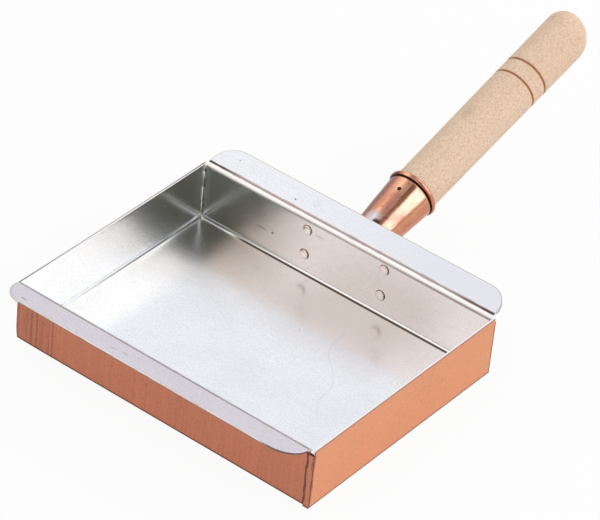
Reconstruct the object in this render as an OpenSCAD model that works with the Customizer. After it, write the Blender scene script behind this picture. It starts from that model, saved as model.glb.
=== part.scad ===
// Tamagoyaki pan: a shallow tray folded from one copper sheet and tinned inside, with a wooden
// handle in a riveted copper socket. Millimetres. The origin is the centre of the base,
// +Z is up and +Y points along the handle.

/* [Tray] */
// Width of the tray, across the two flanged walls
tray_w = 195; // [120:1:300]
// Depth of the tray from front to back, over the corner laps
tray_d = 151; // [100:1:300]
// Height of the plain side walls
wall_h = 36.3; // [33:0.1:60]
// Thickness of the copper sheet
sheet_t = 1.2; // [0.8:0.1:1.5]
// Thickness of the tin wiped over the inside
tin_t = 0.15; // [0.1:0.05:0.3]
// Radius outside the bends where the walls meet the bottom
base_edge_r = 0.8; // [0.4:0.1:2]
// Radius of the copper inside those bends
base_bend_r = 0.5; // [0.4:0.1:3]
// How much the tin that pooled in those bends adds to their radius
tin_pool = 1.85; // [0:0.05:3]

/* [Corner laps] */
// Width of the lap that each side wall folds round a corner
lap_w = 3.6; // [2:0.1:10]
// How far a lap stands out from the wall that it covers
lap_t = 0.4; // [0.3:0.1:1.2]
// How far the top of a lap lies below the rim of the side walls
lap_drop = 2.4; // [1.5:0.1:6]
// Reach of the tin solder drawn into each inside corner
solder_reach = 2; // [1:0.1:4]
// Radius of the drop of solder at the foot of each inside corner
solder_drop_r = 3.2; // [1.5:0.1:4]

/* [Flanges] */
// Length of a flange's flat part, measured up its slope
flange_len = 15.8; // [8:0.2:30]
// Slope of the flanges above level, in degrees
flange_rise = 13.6; // [0:0.1:25]
// Radius under the bend where a wall turns out into its flange
flange_bend_r = 1.9; // [1.2:0.1:4]
// How far the foot of that bend lies below the rim of the side walls
flange_drop = 1.9; // [1:0.1:3]
// Radius of the flanges' outer corners
flange_corner_r = 13.5; // [2:0.5:30]
// How far the flanges stop short of the tray's sides
flange_inset = 1.9; // [0:0.1:4]

/* [Handle socket] */
// How far below the rim the handle's axis meets the back wall
handle_drop = 16.3; // [14:0.1:18]
// Slope of the handle above level, in degrees
handle_rise = 16.3; // [5:0.1:20]
// Thickness of the socket's copper sheet
socket_t = 1.1; // [0.8:0.1:1.5]
// Outside diameter of the socket where it meets the wall
socket_wall_d = 19.3; // [16:0.1:22]
// Outside diameter of the socket just under its bead
socket_mouth_d = 28.4; // [24:0.1:34]
// Length of the socket from the wall to its bead
socket_len = 57.6; // [40:0.2:90]
// Thickness of the bead rolled at the socket's mouth
bead_d = 2.9; // [2.2:0.1:4]
// How far the centre of the bead lies inside the socket's outside face
bead_inset = 0.5; // [0:0.1:0.8]
// Width of the lap along the socket's seam, underneath
seam_w = 6; // [3:0.5:10]
// Height of the step at the seam's lap
seam_t = 0.5; // [0.3:0.1:1]
// Margin of an ear beyond its rivets
ear_margin = 2.6; // [2.5:0.1:2.7]
// Reach of an ear sideways beyond its rivets
ear_reach = 5; // [4:0.5:12]
// Radius of the ears' corners
ear_corner_r = 4; // [1:0.5:5]

/* [Rivets] */
// Distance between the left and right rivets
rivet_span_x = 52; // [44:0.2:90]
// Distance between the upper and lower rivets
rivet_span_z = 16.7; // [12:0.1:20]
// How far the upper rivets lie below the rim
rivet_drop = 5.8; // [5.2:0.1:6.5]
// Diameter of a rivet's shank
rivet_shank_d = 4; // [3:0.1:4.5]
// Diameter of a rivet's head inside the tray
rivet_head_d = 6.4; // [5.5:0.1:8]
// Diameter of a rivet's closed head on the ear
rivet_tail_d = 5.2; // [5:0.1:6]
// Height of a rivet's heads
rivet_head_h = 1.2; // [0.8:0.1:1.6]
// Gap around a rivet's shank in its holes
rivet_fit = 0.05; // [0.02:0.01:0.1]

/* [Wooden handle] */
// Length of the handle from the wall to its tip, along its axis
handle_len = 211; // [150:1:300]
// Diameter of the handle where its round end begins
grip_end_d = 27.9; // [22:0.1:36]
// Distance from the wall to the start of the tenon inside the socket
tenon_start = 16; // [10:1:35]
// Gap between the wood and the inside of the socket
tenon_fit = 0.05; // [0.02:0.01:0.2]
// Distance from the handle's tip to the outer burnt ring
ring_from_tip = 50.5; // [20:0.5:80]
// Distance between the two burnt rings
ring_pitch = 10.8; // [5:0.2:20]
// Width of a burnt ring at the surface of the wood
ring_w = 1.3; // [0.6:0.1:2.5]
// Depth of a burnt ring
ring_depth = 0.5; // [0.2:0.05:0.8]

/* [Nail] */
// Distance from the wall to the nail, along the socket
nail_from_wall = 49.2; // [36:0.2:52]
// Diameter of the nail
nail_d = 2.4; // [1.6:0.1:3.2]
// Length of the nail
nail_len = 14; // [8:0.5:16]
// How far the nail's end lies below the outside of the socket
nail_sink = 0.4; // [0.1:0.05:0.8]
// Gap around the nail in the socket's hole
nail_fit = 0.05; // [0.02:0.01:0.2]

/* [Hidden] */
$fn = 96;

COPPER = [0.80, 0.47, 0.33];
TIN = [0.84, 0.84, 0.85];
SOLDER = [0.62, 0.63, 0.62];
WOOD = [0.86, 0.73, 0.60];
IRON = [0.20, 0.18, 0.18];
FAR = 500;                                   // longer than any piece, for cutting tools
SKIN = sheet_t + tin_t;                      // copper and tin together
FOLD_Y = tray_d / 2 - lap_t;                 // outside face of the front and back walls
BEND_Z = wall_h - flange_drop;               // where the front and back walls start to turn out
FLANGE_HALF = tray_w / 2 - flange_inset;
TIN_BEND_R = base_bend_r - tin_t + tin_pool;
HANDLE_Z = wall_h - handle_drop;
SOCKET_SLOPE = (socket_mouth_d - socket_wall_d) / 2 / socket_len;
EAR_Y = FOLD_Y + socket_t;                   // outside face of the ears
RIVET_TOP_Z = wall_h - rivet_drop;
RIVET_LOW_Z = RIVET_TOP_Z - rivet_span_z;

// Outside radius of the socket's cone at a distance from the wall
function socket_r(along) = socket_wall_d / 2 + SOCKET_SLOPE * along;
// Radius of the wood inside the socket at a distance from the wall
function tenon_r(along) = socket_r(along) - socket_t - tenon_fit;
// Radius of the sphere whose cap has this width and height
function cap_r(width, height) = (width * width / 4 + height * height) / (2 * height);

// Cross-section of the tray's inside or outside: straight walls on two round bottom bends
module bent_section(half, depth, bend, top) {
    translate([-half, depth + bend])
        square([2 * half, top - depth - bend]);
    translate([-half + bend, depth])
        square([2 * (half - bend), 2 * bend]);
    for (side = [-1, 1])
        translate([side * (half - bend), depth + bend])
            circle(bend);
}

// The tray as a solid block with round bottom bends, its faces a depth inside the copper's outside
module tray_block(depth, bend, half_d, top) {
    half_x = tray_w / 2 - depth;
    half_y = half_d - depth;
    intersection() {
        translate([-half_x, 0, 0])
            rotate([90, 0, 90])
                linear_extrude(2 * half_x)
                    bent_section(half_y, depth, bend, top);
        translate([0, half_y, 0])
            rotate([90, 0, 0])
                linear_extrude(2 * half_y)
                    bent_section(half_x, depth, bend, top);
    }
}

// Section of the bend above a wall, between two depths from the copper's outside
module bend_section(near, far) {
    reach = 2 * (flange_bend_r + far);
    intersection() {
        difference() {
            circle(flange_bend_r + far);
            circle(flange_bend_r + near);
        }
        translate([-reach, 0])
            square(reach);
        rotate(flange_rise)
            translate([-reach, 0])
                square(reach);
    }
}

// Section of a bend and its flange, between two depths from the copper's outside
module flange_section(near, far) {
    bend_section(near, far);
    rotate(flange_rise)
        translate([0, flange_bend_r + near])
            square([flange_len, far - near]);
}

// What is cut off a flange's two outer corners to round them, seen square to its slope
module corner_cuts() {
    corner = min(flange_corner_r, flange_len);
    for (x = [-1, 1])
        difference() {
            translate([x * FLANGE_HALF, flange_len])
                square(2 * corner, center = true);
            translate([x * (FLANGE_HALF - corner), flange_len - corner])
                circle(corner);
        }
}

// The front and back bends with their flanges, between two depths
module turned_edges(near, far)
    for (side = [0, 1])
        mirror([0, side, 0])
            translate([0, FOLD_Y + flange_bend_r, BEND_Z])
                difference() {
                    translate([-FLANGE_HALF, 0, 0])
                        rotate([90, 0, 90])
                            linear_extrude(2 * FLANGE_HALF)
                                flange_section(near, far);
                    rotate([flange_rise, 0, 0])
                        linear_extrude(2 * (flange_bend_r + far))
                            corner_cuts();
                }

// The tops of the two side walls, above the foot of the flange bends
module side_tops(near, far, low, top)
    for (side = [0, 1])
        mirror([side, 0, 0])
            translate([tray_w / 2 - far, -FOLD_Y + SKIN, low])
                cube([far - near, 2 * (FOLD_Y - SKIN), top - low]);

// The laps that the side walls fold round the corners
module corner_laps()
    intersection() {
        tray_block(0, base_edge_r, tray_d / 2, wall_h - lap_drop);
        for (x = [0, 1], y = [0, 1])
            mirror([x, 0, 0])
                mirror([0, y, 0])
                    translate([tray_w / 2 - lap_w, FOLD_Y - sheet_t / 2, 0])
                        cube([lap_w, lap_t + sheet_t, wall_h]);
    }

// Moves its children to each of the four rivets
module at_rivets()
    for (x = [-1, 1], z = [RIVET_TOP_Z, RIVET_LOW_Z])
        translate([x * rivet_span_x / 2, 0, z])
            children();

// The holes for the rivets' shanks, through the wall, the tin and the ears
module rivet_holes()
    at_rivets()
        translate([0, FOLD_Y - 2 * SKIN, 0])
            rotate([-90, 0, 0])
                cylinder(d = rivet_shank_d + 2 * rivet_fit, h = 4 * SKIN + socket_t);

// The folded copper sheet: bottom, four walls, two flanges and the corner laps
module tray_body()
    color(COPPER)
        difference() {
            union() {
                difference() {
                    tray_block(0, base_edge_r, FOLD_Y, BEND_Z);
                    tray_block(sheet_t, base_bend_r, FOLD_Y, wall_h);
                }
                side_tops(0, sheet_t, BEND_Z, wall_h - tin_t);
                turned_edges(0, sheet_t);
                corner_laps();
            }
            rivet_holes();
        }

// The tin wiped over the inside, the flanges and the edges of the side walls
module tin_lining()
    color(TIN)
        difference() {
            union() {
                difference() {
                    tray_block(sheet_t, base_bend_r, FOLD_Y, BEND_Z);
                    tray_block(SKIN, TIN_BEND_R, FOLD_Y, wall_h);
                }
                side_tops(sheet_t, SKIN, BEND_Z, wall_h - tin_t);
                side_tops(0, SKIN, wall_h - tin_t, wall_h);
                turned_edges(sheet_t, SKIN);
            }
            rivet_holes();
        }

// Solder drawn into one inside corner, with a drop at its foot; x and y pick the corner
module solder(x, y)
    color(SOLDER)
        intersection() {
            tray_block(SKIN, TIN_BEND_R, FOLD_Y, BEND_Z);
            mirror([x, 0, 0])
                mirror([0, y, 0])
                    translate([tray_w / 2 - SKIN, FOLD_Y - SKIN, 0]) {
                        linear_extrude(BEND_Z)
                            difference() {
                                translate([-solder_reach, -solder_reach])
                                    square(2 * solder_reach);
                                translate([-solder_reach, -solder_reach])
                                    circle(solder_reach);
                            }
                        translate([0, 0, SKIN])
                            sphere(solder_drop_r);
                    }
        }

// Stands its children on the handle's axis: +Z runs up the handle and -Y is its upper side
module on_handle_axis()
    translate([0, FOLD_Y, HANDLE_Z])
        rotate([handle_rise - 90, 0, 0])
            children();

// The cone of the socket, thickened or thinned by grow, from behind the wall to the bead
module socket_cone(grow, end)
    translate([0, 0, -socket_len / 2])
        cylinder(r1 = socket_r(-socket_len / 2) + grow, r2 = socket_r(end) + grow,
            h = socket_len / 2 + end);

// The two ears that lie flat on the back wall, as one plate before the cone is opened
module ear_plate() {
    width = rivet_span_x + 2 * ear_reach;
    low = RIVET_LOW_Z - ear_margin;
    height = rivet_span_z + 2 * ear_margin;
    translate([0, EAR_Y, low])
        rotate([90, 0, 0])
            linear_extrude(socket_t) {
                translate([-width / 2 + ear_corner_r, 0])
                    square([width - 2 * ear_corner_r, height]);
                translate([-width / 2, ear_corner_r])
                    square([width, height - 2 * ear_corner_r]);
                for (x = [-1, 1], z = [ear_corner_r, height - ear_corner_r])
                    translate([x * (width / 2 - ear_corner_r), z])
                        circle(ear_corner_r);
            }
}

// The socket: one sheet rolled into a cone, lapped underneath, with a beaded mouth and two ears
module handle_socket()
    color(COPPER)
        difference() {
            intersection() {
                union() {
                    ear_plate();
                    on_handle_axis() {
                        socket_cone(0, socket_len + bead_d / 2);
                        intersection() {
                            socket_cone(seam_t, socket_len - bead_d / 2);
                            translate([0, 0, -FAR / 2])
                                cube([seam_w, FAR, FAR]);
                        }
                        rotate_extrude()
                            translate([socket_mouth_d / 2 - bead_inset, socket_len + bead_d / 2])
                                circle(d = bead_d);
                    }
                }
                translate([-FAR / 2, FOLD_Y, -FAR / 2])
                    cube(FAR);
            }
            on_handle_axis() {
                socket_cone(-socket_t, socket_len + 2 * bead_d);
                translate([0, 0, nail_from_wall])
                    rotate([90, 0, 0])
                        cylinder(d = nail_d + 2 * nail_fit, h = FAR);
            }
            rivet_holes();
        }

// One head of a rivet: a low round cap standing on its flat side
module rivet_head(width)
    intersection() {
        translate([0, 0, rivet_head_h - cap_r(width, rivet_head_h)])
            sphere(cap_r(width, rivet_head_h));
        cylinder(d = width, h = rivet_head_h);
    }

// One rivet, from its head inside the tray to the head closed over the ear
module rivet(side, height)
    color(COPPER)
        translate([side * rivet_span_x / 2, 0, height]) {
            translate([0, FOLD_Y - SKIN, 0])
                rotate([90, 0, 0])
                    rivet_head(rivet_head_d);
            translate([0, FOLD_Y - SKIN, 0])
                rotate([-90, 0, 0])
                    cylinder(d = rivet_shank_d, h = SKIN + socket_t);
            translate([0, EAR_Y, 0])
                rotate([-90, 0, 0])
                    rivet_head(rivet_tail_d);
        }

// The turned wooden handle: tenon, grip, two burnt rings and a round end
module wooden_handle() {
    end = handle_len - grip_end_d / 2;
    mouth_r = tenon_r(socket_len);
    swell = (grip_end_d / 2 - mouth_r) / (end - socket_len);
    groove_r = (ring_w * ring_w / 4 + ring_depth * ring_depth) / (2 * ring_depth);
    color(WOOD)
        on_handle_axis()
            difference() {
                union() {
                    translate([0, 0, tenon_start])
                        cylinder(r1 = tenon_r(tenon_start), r2 = mouth_r, h = socket_len - tenon_start);
                    translate([0, 0, socket_len])
                        cylinder(r1 = mouth_r, r2 = grip_end_d / 2, h = end - socket_len);
                    translate([0, 0, end])
                        sphere(d = grip_end_d);
                }
                for (along = [handle_len - ring_from_tip, handle_len - ring_from_tip - ring_pitch])
                    rotate_extrude()
                        translate([mouth_r + swell * (along - socket_len) - ring_depth + groove_r, along])
                            circle(groove_r);
                nail_shape();
            }
}

// The nail's round shank, at its place along the handle's axis
module nail_shape()
    translate([0, nail_sink - socket_r(nail_from_wall), nail_from_wall])
        rotate([-90, 0, 0])
            cylinder(d = nail_d, h = nail_len);

// The nail that holds the wood in the socket
module handle_nail()
    color(IRON)
        on_handle_axis()
            nail_shape();

tray_body();
tin_lining();
solder(1, 1);  // solder_front_left
solder(0, 1);  // solder_front_right
solder(1, 0);  // solder_back_left
solder(0, 0);  // solder_back_right
handle_socket();
rivet(-1, RIVET_TOP_Z);  // rivet_upper_left
rivet(1, RIVET_TOP_Z);  // rivet_upper_right
rivet(-1, RIVET_LOW_Z);  // rivet_lower_left
rivet(1, RIVET_LOW_Z);  // rivet_lower_right
wooden_handle();
handle_nail();
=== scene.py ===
import math

import bmesh
import bpy
from mathutils import Matrix, Vector, noise


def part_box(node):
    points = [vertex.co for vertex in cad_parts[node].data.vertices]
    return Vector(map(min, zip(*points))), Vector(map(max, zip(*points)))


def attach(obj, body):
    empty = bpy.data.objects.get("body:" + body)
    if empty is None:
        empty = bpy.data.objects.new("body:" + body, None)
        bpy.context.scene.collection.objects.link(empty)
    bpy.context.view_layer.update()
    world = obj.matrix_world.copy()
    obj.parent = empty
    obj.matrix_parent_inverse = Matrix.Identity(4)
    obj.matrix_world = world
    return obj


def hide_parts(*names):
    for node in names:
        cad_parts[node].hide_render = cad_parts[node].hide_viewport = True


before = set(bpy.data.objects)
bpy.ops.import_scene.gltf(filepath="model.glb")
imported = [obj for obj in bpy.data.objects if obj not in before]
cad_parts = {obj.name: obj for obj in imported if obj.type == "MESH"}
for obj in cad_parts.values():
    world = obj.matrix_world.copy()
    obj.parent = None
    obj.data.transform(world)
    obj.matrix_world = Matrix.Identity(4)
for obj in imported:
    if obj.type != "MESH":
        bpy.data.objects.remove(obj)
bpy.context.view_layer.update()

# The tray is one sheet of copper folded up into a bottom, four walls and a flange along the front
# and the back wall. The folds were made by hand over an iron, so its broad faces are dished a
# little, and the ends of the flanges were cut by eye.
MM = 0.001
sheet_t = 1.2 * MM
tin_t = 0.15 * MM
edge_bend = 0.8 * MM            # radius outside the bends between the bottom and the walls
base_bend = 0.5 * MM            # radius of the copper inside them
pooled_bend = 2.6 * MM          # radius of the tin that has run into them
rim_z = 36.3 * MM               # top of the side walls
foot_z = 34.4 * MM              # where the front and back walls start to turn out
flange_bend = 1.9 * MM          # radius under the bend of a flange
flange_rise = 13.6              # slope of the flanges above level, in degrees
flange_len = 15.8 * MM
flange_corner = 13.5 * MM
flange_inset = 1.9 * MM         # about how far the flanges stop short of the tray's sides
crease_depth = 0.22 * MM        # the folding iron's mark between a bend and its flange
crease_half = 0.5 * MM
half_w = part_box("tray_body")[1].x
wall_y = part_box("handle_socket")[0].y    # outside of the back wall, where the socket lies on it
front_ends = (-96.2 * MM, 94.9 * MM)     # left and right end of the front flange
back_ends = (-95.5 * MM, 95.65 * MM)
floor_steps = 28                # rows of quads from the middle of the bottom to a wall
across = 78                     # quads across the tray from left to right
dish_depth = 0.40 * MM          # how far the middle of the bottom stands up
belly_share = 0.0035            # how far a wall bulges in, as a share of its distance from the middle
tuck_share = 0.0040             # how far the left wall is drawn in at its foot and rim, likewise
uneven_share = 0.7              # how much that dish and bulge vary from place to place
corner_pull = 0.8 * MM          # how far the foot of the front left corner is drawn in
corner_reach = 16 * MM
sharp_turn = math.radians(50)   # an edge that turns by more is a sharp one
scratch_x = 49 * MM             # where a faint scratch over the bottom crosses its middle
# Marks in mm, each with its strength last: dark dashes on the front flange (x, y), black specks on
# the back one (x, y), brown marks inside the back wall (x, z, half length), a drop's faint ring on
# the back flange (x, y, radius), and upright streaks on the copper (from the left, half width).
dashes = ((-82.7, -87.6, 0.55), (-24.0, -86.2, 0.22), (-17.0, -85.0, 0.32))
flange_specks = ((-81.8, 85.4, 0.45), (-39.7, 80.5, 0.85))
wall_marks = ((-55.0, 15.2, 5.5, 0.30), (-47.6, 15.5, 0.9, 0.80), (-16.8, 28.9, 4.5, 0.28))
ring_mark = (-28.6, 84.6, 1.5, 0.09)
streak_lines = ((1.2, 2.2, 0.58), (6.5, 0.7, 0.30), (10.2, 1.1, 0.62), (14.0, 1.0, 0.60),
                (16.0, 0.8, 0.4), (22.2, 0.8, 0.40), (24.6, 1.0, 0.52))
lap_w = 3.6 * MM
lap_t = 0.4 * MM
lap_top = 33.9 * MM

COPPER = (0.89, 0.385, 0.195)
# The front and back walls' copper: redder, and also darker as painted shade.
COPPER_RED_SHADED = (0.66, 0.252, 0.150)
COPPER_DARK = (0.30, 0.115, 0.075)
TIN = (0.885, 0.88, 0.89)
TIN_SMEAR = (0.74, 0.725, 0.71)
FLUX = (0.07, 0.046, 0.033)
FLUX_THIN = (0.19, 0.095, 0.052)


def arc(y, z, radius, start, end, steps):
    """Points of an arc about (y, z) in the plane of the section; its angles are in degrees."""
    points = []
    for step in range(steps + 1):
        angle = math.radians(start + (end - start) * step / steps)
        points.append((y + radius * math.cos(angle), z + radius * math.sin(angle)))
    return points


def hump(off, half):
    """1 in the middle, and almost 0 at twice the half width."""
    return math.exp(-(off / half) ** 2)


def half_section(depth, bend, ends):
    """The tray's section at a depth inside the copper's outer face, from the middle of the bottom
    to the edge of a flange. A row is (y, z, left, right): where it lies and its ends in x."""
    face = wall_y - depth
    side = half_w - depth
    rows = []
    for step in range(floor_steps):
        rows.append(((face - bend) * step / floor_steps, depth, bend - side, side - bend))
    for y, z in arc(face - bend, depth + bend, bend, -90, 0, 8):
        reach = side - face + y
        rows.append((y, z, -reach, reach))
    wall_steps = 11
    wall_low = depth + bend
    for step in range(1, wall_steps + 1):
        rows.append((face, wall_low + (foot_z - wall_low) * step / wall_steps, -side, side))

    rise = math.radians(flange_rise)
    up_y, up_z = -math.sin(rise), math.cos(rise)
    radius = flange_bend + depth
    groove = crease_depth if depth else 0
    left, right = ends
    turn = arc(wall_y + flange_bend, foot_z, radius, 180, 90 + flange_rise, 14)[1:]
    for step, (y, z) in enumerate(turn, 1):
        along = -radius * math.radians(90 - flange_rise) * (1 - step / len(turn))
        dip = groove * hump(along, crease_half)
        trim = min(step / 3, 1)
        rows.append((y - up_y * dip, z - up_z * dip,
                     -side + (left + side) * trim, side + (right - side) * trim))
    y, z = turn[-1]
    straight = flange_len - flange_corner
    runs = [(straight * share, 0) for share in (0.12, 0.25, 0.45, 0.7, 1)]
    for step in range(1, 15):
        angle = math.radians(90 * step / 14)
        runs.append((straight + flange_corner * math.sin(angle), flange_corner * (1 - math.cos(angle))))
    for along, inset in runs:
        dip = groove * hump(along, crease_half)
        rows.append((y + along * math.cos(rise) - up_y * dip, z + along * math.sin(rise) - up_z * dip,
                     left + inset, right - inset))
    return rows


def sheet_face(depth, bend):
    """The grids of points that make up one face of the folded sheet: a ribbon from the edge of the
    front flange to the edge of the back one, and the two side walls."""
    front, back = half_section(depth, bend, front_ends), half_section(depth, bend, back_ends)
    section = [(-y, z, left, right) for y, z, left, right in reversed(front[1:])] + back
    ribbon = []
    for y, z, left, right in section:
        ribbon.append([(left + (right - left) * step / across, y, z) for step in range(across + 1)])
    grids = [ribbon]
    levels = [(y, z, right) for y, z, left, right in back[floor_steps:] if z <= foot_z + 0.01 * MM]
    face, side = levels[-1][0], levels[-1][2]
    levels += [(face, z, side) for z in (foot_z + 0.8 * MM, rim_z)]
    for hand in (-1, 1):
        wall = []
        for y, z, reach in levels:
            steps = range(-floor_steps, floor_steps + 1)
            wall.append([(hand * reach, y * step / floor_steps, z) for step in steps])
        grids.append(wall)
    return grids


def hand_worked(point):
    """Where a point of the folded sheet really lies: its faces bulge a little between the folds,
    the left front corner is drawn in at its foot, and only the back wall stays flat under the
    socket's ears."""
    x, y, z = point
    place = Vector(point) * 16
    along_x, along_y = max(0, 1 - (x / half_w) ** 2), max(0, 1 - (y / wall_y) ** 2)
    low = max(0, 1 - z / (6 * MM))
    dish = dish_depth * along_x * along_y * low * (1 + uneven_share * noise.noise(place * 1.7))
    up = min(max((z - 4 * MM) / (foot_z - 4 * MM), 0), 1)
    bow = math.sin(math.pi * up)
    belly = belly_share * bow * (1 + uneven_share * noise.noise(place * 1.3 + Vector((7, 3, 1))))
    pull_x = belly if x > 0 else tuck_share * (1 - bow)
    pull_y = belly * along_x if y < 0 else 0
    near_corner = max(0, 1 - math.hypot(x + half_w, y + wall_y) / corner_reach)
    drawn = corner_pull * near_corner * max(0, 1 - z / (9 * MM)) ** 2
    return Vector((x * (1 - pull_x * along_y) + drawn, y * (1 - pull_y) + 0.3 * drawn, z + dish))


def folded_sheet(name, outer, inner, edge_index):
    """The whole folded sheet as a closed shell. Its two faces are given as a depth and a bend
    radius, and edge_index picks the finish of its cut edge from a point on that edge."""
    bm = bmesh.new()
    pairs, quads, uses = {}, [], {}
    for outer_grid, inner_grid in zip(sheet_face(*outer), sheet_face(*inner)):
        made = []
        for outer_row, inner_row in zip(outer_grid, inner_grid):
            row = []
            for outside, inside in zip(outer_row, inner_row):
                key = tuple(round(value, 7) for value in outside)
                if key not in pairs:
                    pairs[key] = (bm.verts.new(hand_worked(outside)), bm.verts.new(hand_worked(inside)))
                row.append(key)
            made.append(row)
        for near, far in zip(made, made[1:]):
            quads += zip(near, near[1:], far[1:], far)
    for quad in quads:
        for layer in (0, 1):
            bm.faces.new([pairs[key][layer] for key in quad])
        for edge in zip(quad, quad[1:] + quad[:1]):
            uses.setdefault(frozenset(edge), []).append(edge)
    for edges in uses.values():
        if len(edges) == 1:
            start, end = edges[0]
            rim = bm.faces.new((*pairs[start], *reversed(pairs[end])))
            rim.material_index = edge_index(rim.calc_center_median())
    bmesh.ops.recalc_face_normals(bm, faces=bm.faces)

    weight = bm.edges.layers.float.new("bevel_weight_edge")
    outside = {pair[0] for pair in pairs.values()}
    for edge in bm.edges:
        if edge.calc_face_angle() > sharp_turn:
            edge.smooth = False
            if all(vert in outside for vert in edge.verts):
                edge[weight] = 1
    return to_object(bm, name)


def add_grid(bm, rows):
    """Joins rows of points with quads."""
    made = [[bm.verts.new(point) for point in row] for row in rows]
    for near, far in zip(made, made[1:]):
        for corners in zip(near, near[1:], far[1:], far):
            bm.faces.new(corners)


def to_object(bm, name):
    """Turns a finished bmesh into an object with smooth faces."""
    mesh = bpy.data.meshes.new(name)
    bm.to_mesh(mesh)
    bm.free()
    for polygon in mesh.polygons:
        polygon.use_smooth = True
    piece = bpy.data.objects.new(name, mesh)
    bpy.context.scene.collection.objects.link(piece)
    return piece


def ease_edges(piece, width, segments=2, limit="ANGLE", finish=-1):
    """Breaks the sharp edges of a piece and keeps its flat faces flat. The broken edges may take
    a finish of their own."""
    bevel = piece.modifiers.new("eased edges", "BEVEL")
    bevel.width = width
    bevel.segments = segments
    bevel.limit_method = limit
    bevel.angle_limit = sharp_turn
    bevel.use_clamp_overlap = True
    bevel.material = finish
    shading = piece.modifiers.new("flat faces", "WEIGHTED_NORMAL")
    shading.keep_sharp = True


def paint(piece, *finishes):
    """Gives a piece its finishes, in the order of the numbers on its faces."""
    for finish in finishes:
        piece.data.materials.append(finish)


class Finish:
    """A material made of nodes. A call adds one node: its inputs are numbers, colours or the
    outputs of other nodes, and an underscore in an input's name stands for a space."""

    def __init__(self, name):
        self.material = bpy.data.materials.new(name)
        self.material.use_nodes = True
        self.tree = self.material.node_tree
        self.tree.nodes.clear()
        self.place = self("ShaderNodeTexCoord").outputs["Object"]

    def __call__(self, kind, settings=None, **inputs):
        node = self.tree.nodes.new(kind)
        for key, value in (settings or {}).items():
            setattr(node, key, value)
        for key, value in inputs.items():
            name = key.replace("_", " ")
            socket = node.inputs[int(name[1:])] if name[1:].isdigit() else node.inputs[name]
            if isinstance(value, bpy.types.NodeSocket):
                self.tree.links.new(value, socket)
            elif hasattr(socket.default_value, "__len__") and len(value) == 3:
                socket.default_value = (*value, 1) if len(socket.default_value) == 4 else value
            else:
                socket.default_value = value
        return node

    def xyz(self, vector=None):
        """The three parts of a vector, or of the place itself."""
        return self("ShaderNodeSeparateXYZ", Vector=self.place if vector is None else vector).outputs

    def math(self, operation, *values):
        """One step of arithmetic."""
        inputs = {f"i{index}": value for index, value in enumerate(values)}
        return self("ShaderNodeMath", {"operation": operation}, **inputs).outputs[0]

    def fold(self, operation, values):
        """The same step of arithmetic through a whole row of values."""
        result = values[0]
        for value in values[1:]:
            result = self.math(operation, result, value)
        return result

    def times(self, *values):
        """The product of some values."""
        return self.fold("MULTIPLY", values)

    def plus(self, *values):
        """The sum of some values."""
        return self.fold("ADD", values)

    def less(self, *values):
        """The first value less the others."""
        return self.fold("SUBTRACT", values)

    def most(self, *values):
        """The largest of some values."""
        return self.fold("MAXIMUM", values)

    def off(self, value, middle):
        """How far a value lies from the middle."""
        return self.math("ABSOLUTE", self.less(value, middle))

    def apart(self, first, first_middle, second, second_middle):
        """Distance from a point, measured in two coordinates."""
        one, two = self.off(first, first_middle), self.off(second, second_middle)
        return self.math("SQRT", self.plus(self.times(one, one), self.times(two, two)))

    def noise(self, stretch, detail=3, roughness=0.55, shift=(0, 0, 0), place=None):
        """Cloudy texture from 0 to 1, with so many features per metre along x, y and z."""
        at = place if place is not None else self.place
        moved = self("ShaderNodeMapping", Vector=at, Scale=stretch, Location=shift)
        return self("ShaderNodeTexNoise", Vector=moved.outputs[0], Scale=1.0, Detail=detail,
                    Roughness=roughness).outputs[0]

    def ramp(self, value, low, high, out_low=0.0, out_high=1.0):
        """Maps low..high to out_low..out_high with soft ends."""
        return self("ShaderNodeMapRange", {"interpolation_type": "SMOOTHSTEP"}, Value=value,
                    From_Min=low, From_Max=high, To_Min=out_low, To_Max=out_high).outputs[0]

    def near(self, distance, far, close, strength=1.0):
        """A soft mark: nothing beyond far mm, and its full strength within close mm."""
        return self.ramp(distance, far * MM, close * MM, 0.0, strength)

    def mix(self, share, first, second):
        """Blends two colours; share 0 is the first one."""
        node = self("ShaderNodeMix", {"data_type": "RGBA"}, i0=share)
        for socket, value in ((node.inputs[6], first), (node.inputs[7], second)):
            if isinstance(value, bpy.types.NodeSocket):
                self.tree.links.new(value, socket)
            else:
                socket.default_value = (*value, 1)
        return node.outputs[2]

    def tint(self, colour, *layers):
        """Lays tones over a colour one after another; a layer is its share and its tone."""
        for share, tone in layers:
            colour = self.mix(share, colour, tone)
        return colour

    def surface(self, colour, roughness, height, depth, metallic=1.0, **more):
        """Ends the material: a surface with this colour and roughness, and relief from a height."""
        bump = self("ShaderNodeBump", Height=height, Distance=depth, Strength=1.0)
        shader = self("ShaderNodeBsdfPrincipled", Base_Color=colour, Roughness=roughness,
                      Metallic=metallic, Normal=bump.outputs[0], **more)
        self("ShaderNodeOutputMaterial", Surface=shader.outputs[0])
        return self.material


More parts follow.
